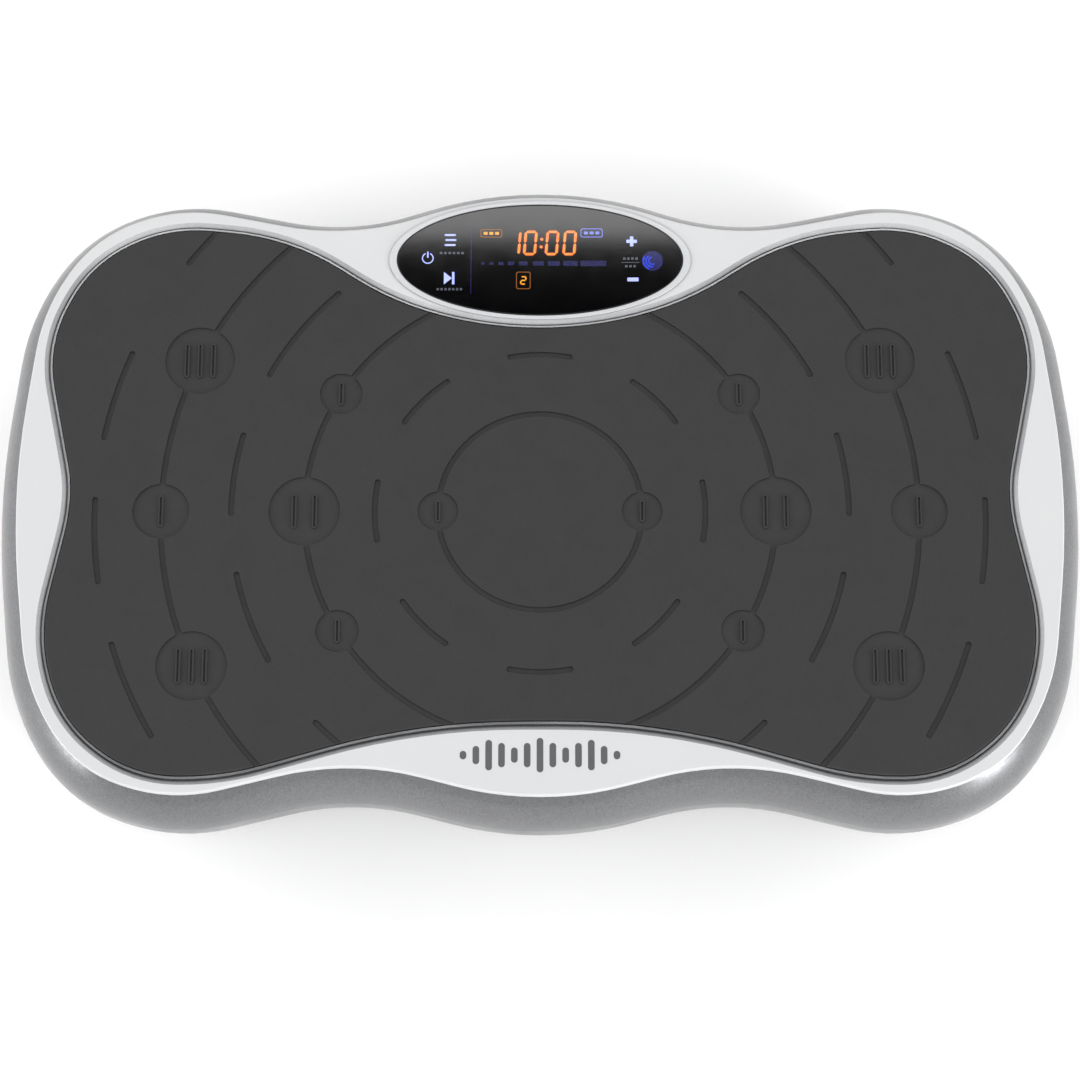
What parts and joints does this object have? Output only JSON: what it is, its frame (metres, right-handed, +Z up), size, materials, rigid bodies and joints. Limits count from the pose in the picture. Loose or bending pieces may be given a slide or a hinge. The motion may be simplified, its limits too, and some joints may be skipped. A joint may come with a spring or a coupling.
{
  "type": "vibration plate",
  "caption": "Slim oscillating vibration plate: contoured rocking platform with rubber foot mat and oval touch display over a low base with an eccentric drive.",
  "frame": {"origin": "on the floor, under the centre of the skirt's widest outline", "axes": "+X to the user's right, +Y to the display's side, +Z up"},
  "size_m": [0.5404, 0.3314, 0.12],
  "materials": {
    "white_abs": "fine satin moulded",
    "silver_abs": "satin silver paint on moulded ABS",
    "mat_rubber": "matte, finely textured",
    "lens_acrylic": "polished black",
    "bezel_abs": "satin white",
    "black_abs": "moulded",
    "grey_abs": "moulded dark grey",
    "circuit_board": "green solder mask",
    "digit_module": "smoked",
    "led": "moulded clear",
    "spring_steel": "bright",
    "zinc_steel": "zinc plated",
    "painted_steel": "black powder coat",
    "cast_iron": "painted casting",
    "ground_steel": "ground bright",
    "pulley_aluminium": "turned",
    "ferrite": "sintered, dark",
    "copper": "enamelled windings",
    "belt_rubber": "ribbed",
    "capacitor_sleeve": "shrink sleeve",
    "pin_brass": "nickel-bright",
    "foot_rubber": "matte"
  },
  "bodies": {
    "base": {"base_tray": "grey_abs", "base_plate": "zinc_steel", "base_screws": "zinc_steel", "front_pivot_bracket": "painted_steel", "rear_pivot_bracket": "painted_steel", "pivot_shaft": "ground_steel", "shaft_clips": "spring_steel", "front_shaft_housing": "cast_iron", "rear_shaft_housing": "cast_iron", "front_shaft_bearing": "ground_steel", "rear_shaft_bearing": "ground_steel", "motor_can": "zinc_steel", "motor_end_bell": "black_abs", "motor_magnets": "ferrite", "motor_bracket": "zinc_steel", "motor_cradle": "belt_rubber", "drive_belt": "belt_rubber", "board_standoffs": "zinc_steel", "control_board": "circuit_board", "heat_sink": "pulley_aluminium", "capacitors": "capacitor_sleeve", "line_choke": "ferrite", "power_inlet": "black_abs", "inlet_pins": "pin_brass", "power_switch_housing": "black_abs", "foot_front_left": "foot_rubber", "foot_front_right": "foot_rubber", "foot_rear_left": "foot_rubber", "foot_rear_right": "foot_rubber", "foot_bolts": "zinc_steel"},
    "platform": {"side_skirt": "silver_abs", "top_cover": "white_abs", "foot_mat": "mat_rubber", "display_lens": "lens_acrylic", "display_bezel": "bezel_abs", "display_housing": "black_abs", "display_pcb": "circuit_board", "digit_display": "digit_module", "indicator_leds": "led", "touch_springs": "spring_steel", "display_screws": "zinc_steel", "deck_plate": "painted_steel", "skirt_screws": "zinc_steel", "deck_frame": "painted_steel", "frame_bolts": "zinc_steel", "front_pillow_block": "cast_iron", "rear_pillow_block": "cast_iron", "front_pivot_bearing": "ground_steel", "rear_pivot_bearing": "ground_steel", "link_clevis": "painted_steel", "link_pin": "ground_steel"},
    "eccentric": {"eccentric_shaft": "ground_steel", "driven_pulley": "pulley_aluminium"},
    "link": {"link_rod": "cast_iron", "link_bearing": "ground_steel"},
    "rotor": {"motor_shaft": "ground_steel", "motor_armature": "copper", "motor_pulley": "pulley_aluminium"},
    "switch": {"power_switch_rocker": "black_abs"}
  },
  "joints": [
    {"name": "platform_rock", "type": "hinge", "parent": "base", "child": "platform", "pos_m": [0, 0, 0.062], "axis": [0, 1, 0], "range_deg": [-1.7, 1.7]},
    {"name": "eccentric_spin", "type": "hinge", "parent": "base", "child": "eccentric", "pos_m": [-0.048, 0, 0.062], "axis": [0, 1, 0], "continuous": true},
    {"name": "link_turn", "type": "hinge", "parent": "eccentric", "child": "link", "pos_m": [-0.04657, 0, 0.062], "axis": [0, 1, 0], "continuous": true},
    {"name": "motor_spin", "type": "hinge", "parent": "base", "child": "rotor", "pos_m": [-0.14, 0, 0.052], "axis": [0, 1, 0], "continuous": true},
    {"name": "switch_tip", "type": "hinge", "parent": "base", "child": "switch", "pos_m": [0.1405, 0.12275, 0.034], "axis": [0, 0, 1], "range_deg": [0, 16]}
  ],
  "couplings": [
    {"joint": "link_turn", "follows": "eccentric_spin", "ratio": -1},
    {"joint": "motor_spin", "follows": "eccentric_spin", "ratio": 3}
  ]
}
